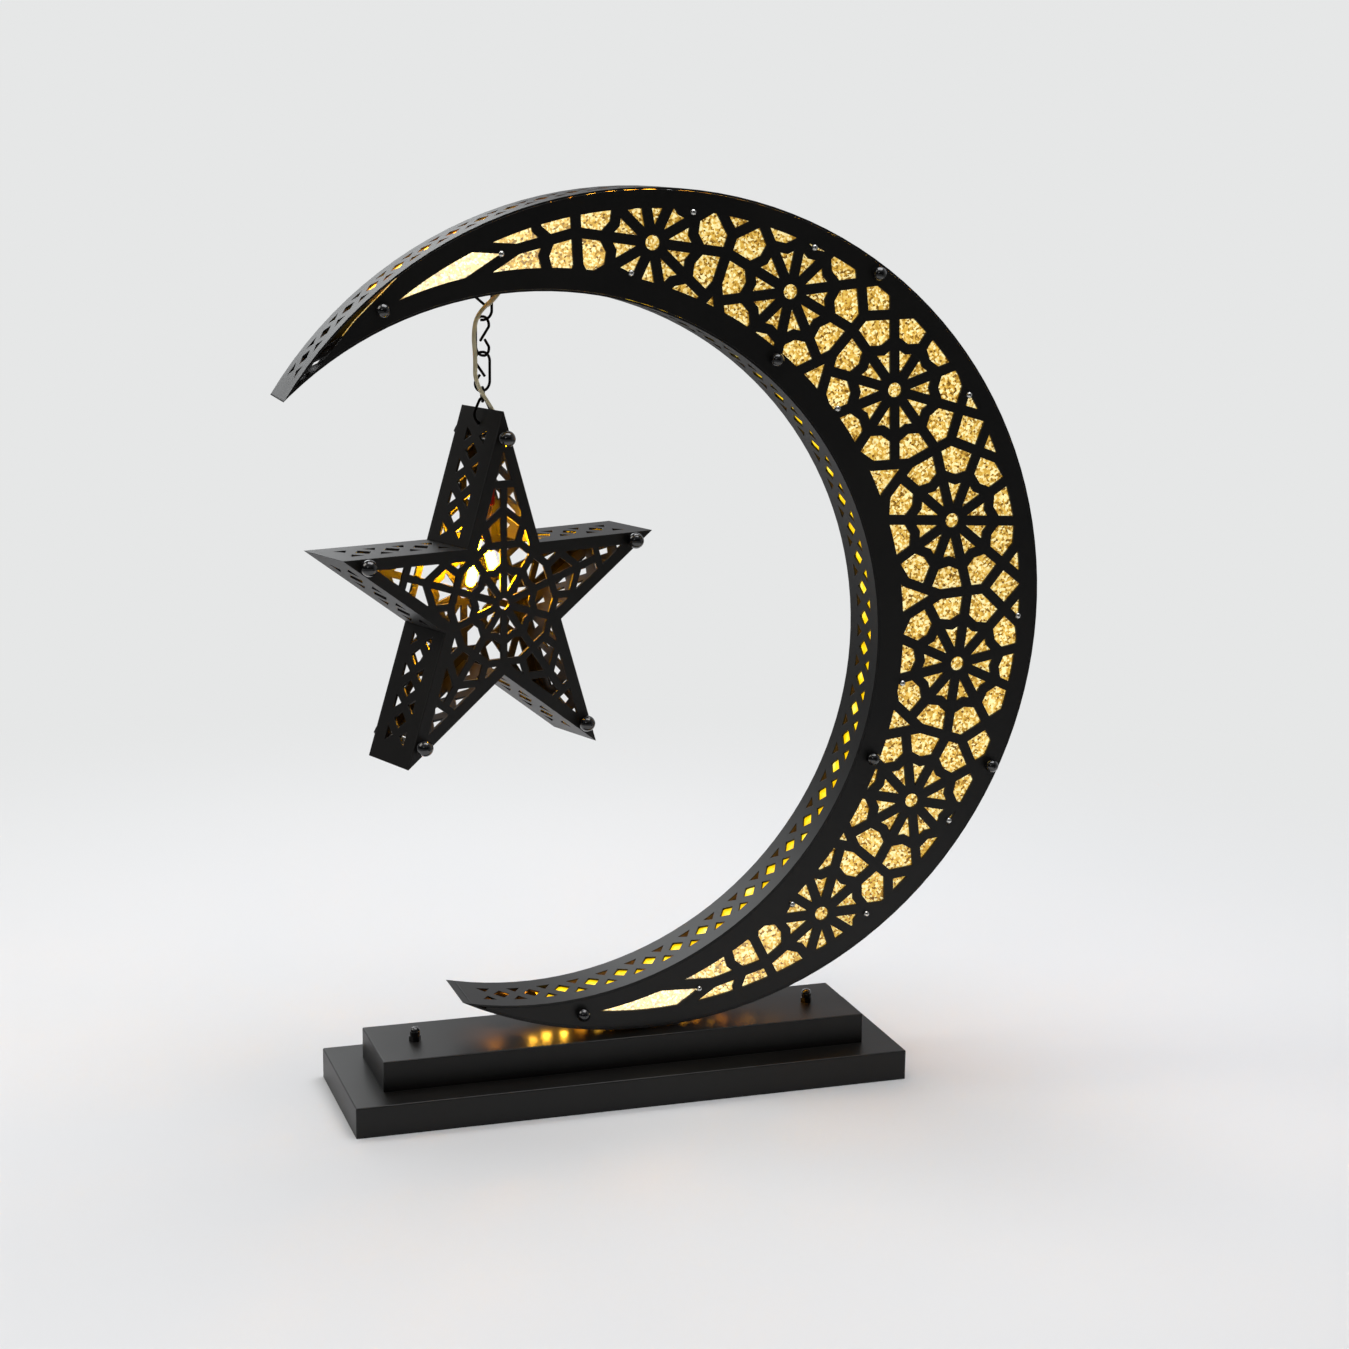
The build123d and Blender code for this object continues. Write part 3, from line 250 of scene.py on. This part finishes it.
# Lit lamp capsule: a clear resin that glows deep amber, strong enough to gild the star's inside
def lit_capsule():
    core_width = 4 * MM
    lamp_glow = 600.0
    material, tree = new_material("lit_lamp_resin")
    place = add_node(tree, "ShaderNodeTexCoord")
    core = add_node(tree, "ShaderNodeTexNoise", values={"Scale": 1 / core_width},
                    links={"Vector": place.outputs["Object"]})
    colour = add_node(tree, "ShaderNodeValToRGB", links={"Fac": core.outputs["Fac"]})
    set_ramp(colour, [(0.3, "ffa405"), (0.6, "ffb607")])
    shader = add_node(tree, "ShaderNodeBsdfPrincipled",
                      values={"Roughness": 0.15, "Emission Strength": lamp_glow},
                      links={"Base Color": colour.outputs["Color"],
                             "Emission Color": colour.outputs["Color"]})
    finish_surface(tree, shader)
    return material


finishes = {
    "powder_black": powder_coat(),
    "gloss_black": black_nickel(),
    # Zinc plate on the studs and hidden fixings: pale grey with soft, slightly broken reflections
    "zinc": plain_metal("zinc_plated_steel", dark="c2c2be", light="ecebe6",
                        low_rough=0.16, high_rough=0.28, grain=3 * MM),
    # Oiled wire of the chain: nearly black, with a dull brown glint on its bends
    "link_wire": plain_metal("oiled_steel_wire", dark="0b0a08", light="1c1814",
                             low_rough=0.45, high_rough=0.6, grain=1.5 * MM),
    "amber": amber_crackle(),
    "strip_yellow": lamp_strip("lit_phosphor_strip", tones=("d8aa00", "f0c810", "ffea6a"), glow=1.35),
    # Nylon of the terminal block: a milky white with a waxy shine
    "block_white": moulded_piece("nylon_terminal_block", dark="cfcabb", light="dedacd",
                                 roughness=0.45, grain=4 * MM),
    # Rubber of the bush and grommet: dull and dark, with hardly a highlight
    "bush_black": moulded_piece("black_rubber_bush", dark="0c0c0c", light="181818",
                                roughness=0.7, grain=2 * MM),
    # Ceramic of the lamp holder: a warm cream with a soft shine
    "holder_cream": moulded_piece("cream_ceramic_holder", dark="a98a5f", light="c4a67a",
                                  roughness=0.4, grain=3 * MM),
    "lamp_glass": lit_capsule(),
    # Vinyl sleeve of the splice: a deep red that shines
    "splice_red": moulded_piece("red_pvc_splice", dark="8c0d0a", light="b3160f",
                                roughness=0.35, grain=2 * MM),
    # Vinyl skin of the flex: cream, with a satin shine along each core
    "flex_cream": moulded_piece("cream_pvc_flex", dark="e0d1a2", light="efe3bd",
                                roughness=0.4, grain=6 * MM),
}

for piece in frame["record"]["subparts"]:
    surface = frame["nodes"][piece["node"]]
    surface.data.materials.clear()
    surface.data.materials.append(finishes[piece["material_slot"]])

# The outer strip faces the floor and the base, and is brighter so that it lights them through
# the wall
bright_strip = lamp_strip("bright_phosphor_strip", tones=("f08c14", "ffae2a", "ffcc50"), glow=11.0)
frame["nodes"]["led_strip_outer"].data.materials[0] = bright_strip

# Flex from the crescent to the star, a flat twin cord in three lengths that follow the chain.
# Its route repeats the one in the part's source, as places beside the chain and beside the star,
# and is in millimetres up to where these become points of the frame.
chain_x = -71.70
wall_top = 420.86
star_top = 362.66
star_turn = math.radians(18.8)
flex_width = 2.6 * MM
core_radius = 0.8 * MM
smooth_angle = math.radians(50)


def beside_chain(x, y, z):
    """A place beside the chain, from millimetres across, back and up from the wall it hangs on."""
    return Vector((chain_x + x, y, wall_top + z)) * MM


def beside_star(x, front, z):
    """A place beside the star's top arm, from millimetres across, forward and up from its tip."""
    across = Vector((math.cos(star_turn), math.sin(star_turn), 0))
    forward = Vector((math.sin(star_turn), -math.cos(star_turn), 0))
    return (Vector((chain_x, 0, star_top + z)) + across * x + forward * front) * MM


flex_route = [
    beside_chain(15.7, 9.85, 20.6),
    beside_chain(15.7, 1.5, 20.6),
    beside_chain(10.6, 0.2, 8.0),
    beside_chain(9.0, -2.2, -1.0),
    beside_chain(-4.2, -7.2, -10.6),
    beside_chain(-6.5, -7.6, -20.5),
    beside_chain(-5.3, -7.3, -33.0),
    beside_chain(-5.6, -6.8, -44.5),
    beside_star(1.5, 6.0, 0.5),
    beside_star(8.5, 3.5, -8.5),
    beside_star(10.5, 0, -18.5),
    beside_star(5.0, 0, -25.0),
    beside_star(4.7, 0.5, -33.0),
    beside_star(4.5, 0, -40.3),
]
# Where its three lengths meet, on the way from one point of the route to the next
upper_joint = flex_route[3].lerp(flex_route[4], 0.6)
lower_joint = flex_route[7].lerp(flex_route[8], 0.5)


def twin_section():
    """The flex's outline, flat with a round core at each side, as a closed curve for the bevel."""
    curve = bpy.data.curves.new("twin_section", "CURVE")
    curve.dimensions = "2D"
    spline = curve.splines.new("POLY")
    points = []
    half_gap = flex_width / 2 - core_radius
    arc_points = 7
    arc_step = 20
    for side, start in ((1, -60), (-1, 120)):
        for k in range(arc_points):
            angle = math.radians(start + k * arc_step)
            points.append((half_gap * side + core_radius * math.cos(angle),
                           core_radius * math.sin(angle)))
    spline.points.add(len(points) - 1)
    for point, (x, y) in zip(spline.points, points):
        point.co = (x, y, 0, 1)
    spline.use_cyclic_u = True
    section = bpy.data.objects.new("twin_section", curve)
    scene.collection.objects.link(section)
    return section


def flex_line(name, points):
    """A smooth line on the route's points."""
    curve = bpy.data.curves.new(name, "CURVE")
    curve.dimensions = "3D"
    curve.resolution_u = 10
    curve.use_fill_caps = True
    spline = curve.splines.new("NURBS")
    spline.points.add(len(points) - 1)
    for control, point in zip(spline.points, points):
        control.co = (*point, 1)
    spline.order_u = 3
    spline.use_endpoint_u = True
    line = bpy.data.objects.new(name, curve)
    scene.collection.objects.link(line)
    return line


def line_points(line):
    """The points along a line that has no thickness yet."""
    bpy.context.view_layer.update()
    seen = line.evaluated_get(bpy.context.evaluated_depsgraph_get())
    mesh = bpy.data.meshes.new_from_object(seen)
    points = [vertex.co.copy() for vertex in mesh.vertices]
    bpy.data.meshes.remove(mesh)
    return points


flex_section = twin_section()


def flex_piece(node, points):
    """One length of the flex, in place of its CAD node, as a mesh along a curved line between two
    bodies of the part.
    """
    line = flex_line(node + "_twin", points)
    path = line_points(line)
    line.data.bevel_mode = "OBJECT"
    line.data.bevel_object = flex_section
    bpy.ops.object.select_all(action="DESELECT")
    line.select_set(True)
    bpy.context.view_layer.objects.active = line
    bpy.ops.object.convert(target="MESH")
    line = bpy.context.view_layer.objects.active
    bpy.ops.object.shade_smooth_by_angle(angle=smooth_angle)
    line.data.materials.clear()
    line.data.materials.append(finishes["flex_cream"])
    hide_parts(node)
    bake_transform(line)


flex_piece("flex_upper", flex_route[:4] + [upper_joint])
flex_piece("flex_middle", [upper_joint] + flex_route[4:8] + [lower_joint])
flex_piece("flex_lower", [lower_joint] + flex_route[8:])
bpy.data.objects.remove(flex_section)

# Grey that the camera sees behind the object, and the part of the floor that fades into it
backdrop = "e6e7e7"
floor_size = 14
fade_start = 0.3
fade_end = 0.95


# Floor paint, pale and matt: it keeps the soft shadow round the object and fades into the backdrop
# away from it. Other rays than the camera's see the far floor dimmer, so that it adds little light.
def pale_floor():
    cloud_width = 2 / 3
    material, tree = new_material("pale_matt_floor")
    place = add_node(tree, "ShaderNodeTexCoord")
    cloud = add_node(tree, "ShaderNodeTexNoise", values={"Scale": 1 / cloud_width, "Detail": 2.0},
                     links={"Vector": place.outputs["Object"]})
    colour = add_node(tree, "ShaderNodeValToRGB", links={"Fac": cloud.outputs["Fac"]})
    set_ramp(colour, [(0.3, "e2e3e4"), (0.7, "e6e6e6")])
    paint = add_node(tree, "ShaderNodeBsdfPrincipled", values={"Roughness": 0.85, "IOR": 1.2},
                     links={"Base Color": colour.outputs["Color"]})
    distance = add_node(tree, "ShaderNodeVectorMath", settings={"operation": "LENGTH"},
                        links={0: place.outputs["Object"]})
    fade = add_node(tree, "ShaderNodeMapRange", settings={"interpolation_type": "SMOOTHSTEP"},
                    values={"From Min": fade_start, "From Max": fade_end},
                    links={"Value": distance.outputs["Value"]})
    rays = add_node(tree, "ShaderNodeLightPath")
    strength = add_node(tree, "ShaderNodeMapRange", values={"To Min": 0.25, "To Max": 1.0},
                        links={"Value": rays.outputs["Is Camera Ray"]})
    glow = add_node(tree, "ShaderNodeEmission", values={"Color": linear(backdrop)},
                    links={"Strength": strength.outputs["Result"]})
    mixed = add_node(tree, "ShaderNodeMixShader",
                     links={0: fade.outputs["Result"], 1: paint.outputs["BSDF"],
                            2: glow.outputs["Emission"]})
    finish_surface(tree, mixed)
    return material


bpy.ops.object.select_all(action="DESELECT")
bpy.ops.mesh.primitive_plane_add(size=floor_size, location=(0, 0, 0))
floor = bpy.context.active_object
floor.name = "floor"
floor.data.materials.append(pale_floor())


# Studio: a white room that is brighter behind the object, to its right and overhead, dark on the
# camera's side, and seen by the camera as an even pale grey
def studio_room():
    front_strength = 0.02
    back_strength = 0.5
    overhead_strength = 0.3
    world = bpy.data.worlds.new("studio")
    world.use_nodes = True
    room = world.node_tree
    room.nodes.clear()
    direction = add_node(room, "ShaderNodeTexCoord")
    axes = add_node(room, "ShaderNodeSeparateXYZ", links={"Vector": direction.outputs["Generated"]})
    slant = add_node(room, "ShaderNodeMath", settings={"operation": "ADD"},
                     links={0: axes.outputs["X"], 1: axes.outputs["Y"]})
    depth = add_node(room, "ShaderNodeMapRange",
                     values={"From Min": -0.2, "From Max": 1.2,
                             "To Min": front_strength, "To Max": back_strength},
                     links={"Value": slant.outputs["Value"]})
    lift = add_node(room, "ShaderNodeMapRange",
                    values={"From Min": 0.35, "From Max": 0.95,
                            "To Min": 0.0, "To Max": overhead_strength},
                    links={"Value": axes.outputs["Z"]})
    strength = add_node(room, "ShaderNodeMath", settings={"operation": "MAXIMUM"},
                        links={0: depth.outputs["Result"], 1: lift.outputs["Result"]})
    walls = add_node(room, "ShaderNodeBackground", values={"Color": linear("f6f7fa")},
                     links={"Strength": strength.outputs["Value"]})
    seen = add_node(room, "ShaderNodeBackground",
                    values={"Color": linear(backdrop), "Strength": 1.0})
    rays = add_node(room, "ShaderNodeLightPath")
    chosen = add_node(room, "ShaderNodeMixShader",
                      links={0: rays.outputs["Is Camera Ray"], 1: walls.outputs["Background"],
                             2: seen.outputs["Background"]})
    add_node(room, "ShaderNodeOutputWorld", links={"Surface": chosen.outputs["Shader"]})
    return world


scene.world = studio_room()


def softbox(name, place, aim, size, power, colour):
    """A square soft light that faces a point and isn't in view itself."""
    data = bpy.data.lights.new(name, "AREA")
    data.shape = "SQUARE"
    data.size = size
    data.energy = power
    data.color = linear(colour)[:3]
    lamp = bpy.data.objects.new(name, data)
    scene.collection.objects.link(lamp)
    lamp.location = place
    lamp.rotation_euler = (Vector(aim) - Vector(place)).to_track_quat("-Z", "Y").to_euler()
    lamp.visible_camera = False


softbox("key_softbox", place=(-1.7, 0.5, 1.7), aim=(0.0, 0.0, 0.2),
        size=1.2, power=13, colour="fffaf2")
softbox("overhead_softbox", place=(0.35, 0.1, 2.2), aim=(0.3, 0.0, 0.0),
        size=1.8, power=42, colour="fbfcff")
# Small, in front and to the left, so that each ball screw shows a glint
softbox("screw_light", place=(-1.3, -1.6, 1.3), aim=(0.0, 0.0, 0.25),
        size=0.35, power=1.2, colour="ffffff")
# Behind the crescent, so that the rolled wall of its upper end catches a broad highlight
softbox("edge_softbox", place=(-0.24, 1.6, 0.92), aim=(-0.15, 0.0, 0.42),
        size=0.9, power=5, colour="f8fbfc")
# Light that leaks down through the outer wall on to the step, in three small patches
softbox("step_glow_left", place=(-0.047, -0.005, 0.0385), aim=(-0.047, -0.006, 0.0),
        size=0.003, power=0.004, colour="ffb838")
softbox("step_glow_middle", place=(-0.039, -0.003, 0.0372), aim=(-0.039, -0.004, 0.0),
        size=0.004, power=0.006, colour="ffb838")
softbox("step_glow_right", place=(-0.030, -0.005, 0.0360), aim=(-0.030, -0.006, 0.0),
        size=0.003, power=0.005, colour="ffb838")
# The last diamonds of the lower end get only a brown glow, from past the end of the strip
softbox("tip_glow", place=(-0.050, 0.0, 0.0524), aim=(-0.050, 0.0, 0.0),
        size=0.006, power=0.03, colour="ff9a20")
softbox("end_glow", place=(-0.064, 0.0, 0.0528), aim=(-0.064, 0.0, 0.0),
        size=0.006, power=0.03, colour="ff9a20")

# Camera at the photograph's place: its lens and pose come from the perspective of the base and of the
# crescent's two circles
camera_place = Vector((-0.38082, -1.25103, 0.49831))
camera_yaw = math.radians(18.23)
camera_pitch = math.radians(11.915)
camera_roll = math.radians(-0.659)
focal_pixels = 2563.31
frame_pixels = 1349

forward = Vector((math.sin(camera_yaw) * math.cos(camera_pitch),
                  math.cos(camera_yaw) * math.cos(camera_pitch), -math.sin(camera_pitch)))
level = Vector((math.cos(camera_yaw), -math.sin(camera_yaw), 0))
down = forward.cross(level)
right = level * math.cos(camera_roll) + down * math.sin(camera_roll)
up = level * math.sin(camera_roll) - down * math.cos(camera_roll)
lens = bpy.data.cameras.new("photo_camera")
lens.sensor_width = 36
lens.lens = focal_pixels / frame_pixels * lens.sensor_width
lens.clip_start = 0.05
camera = bpy.data.objects.new("photo_camera", lens)
scene.collection.objects.link(camera)
turn = Matrix((right, up, -forward)).transposed().to_4x4()
camera.matrix_world = Matrix.Translation(camera_place) @ turn
scene.camera = camera
